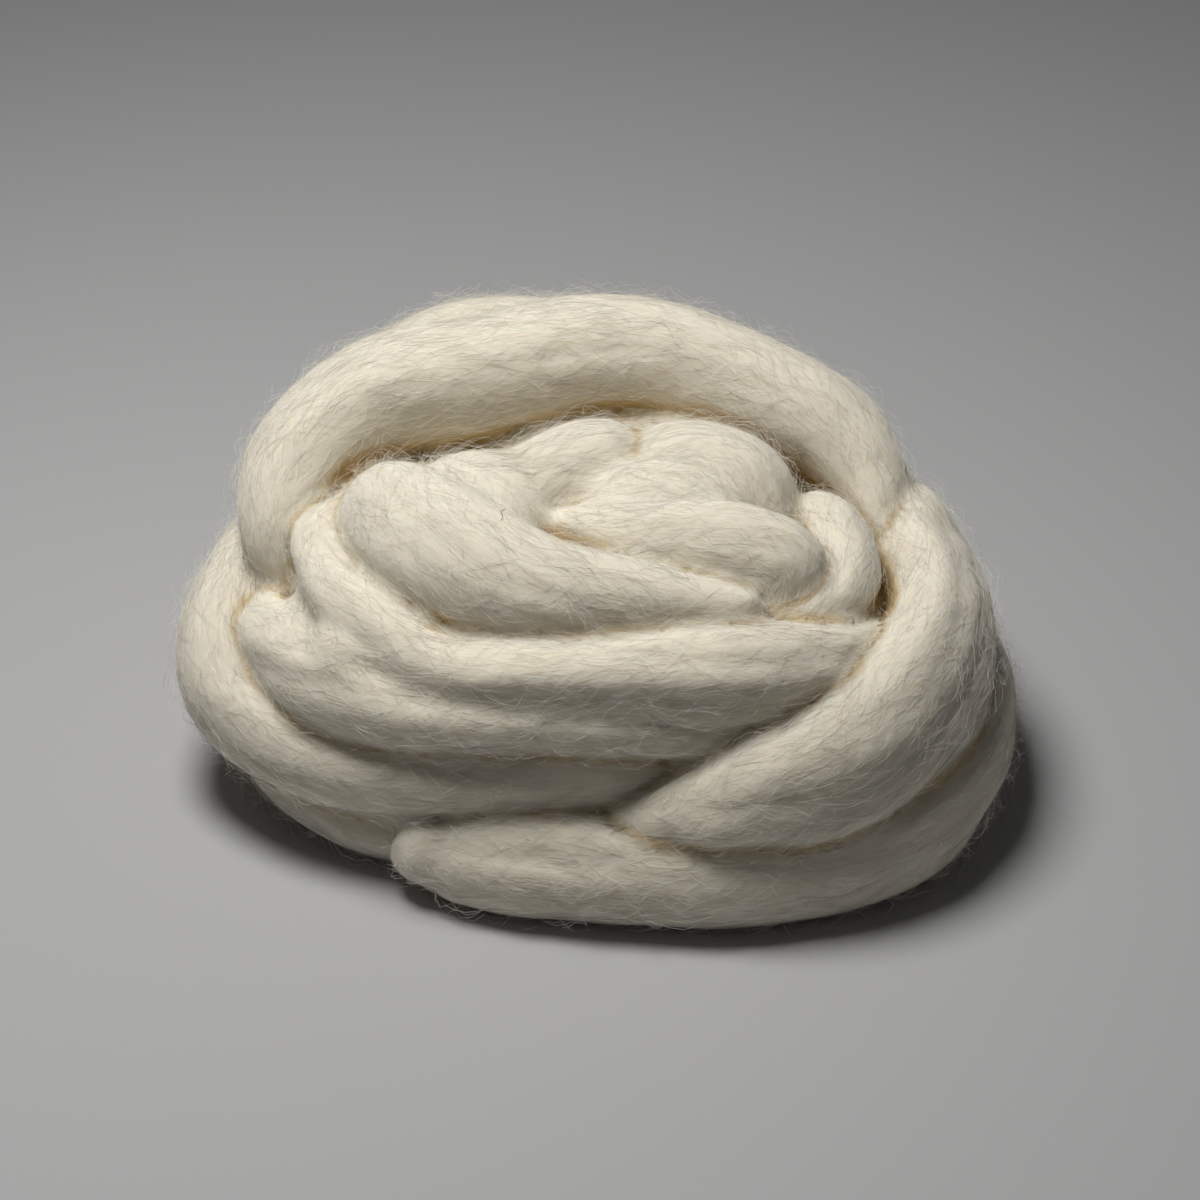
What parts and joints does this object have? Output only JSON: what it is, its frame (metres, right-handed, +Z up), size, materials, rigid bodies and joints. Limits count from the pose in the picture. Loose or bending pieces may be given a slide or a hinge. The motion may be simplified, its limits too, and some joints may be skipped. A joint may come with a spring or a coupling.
{
  "type": "wool roving",
  "caption": "Loose nest of thick combed wool roving, wound round on itself and resting on a flat underside.",
  "frame": {"origin": "on the flat underside, about under the middle of the nest", "axes": "+X to the right along the nest's longest side, +Y to the back, +Z up"},
  "size_m": [0.2593, 0.204, 0.1285],
  "materials": {
    "wool": "matte"
  },
  "bodies": {
    "root": {"roving": "wool"}
  },
  "joints": []
}
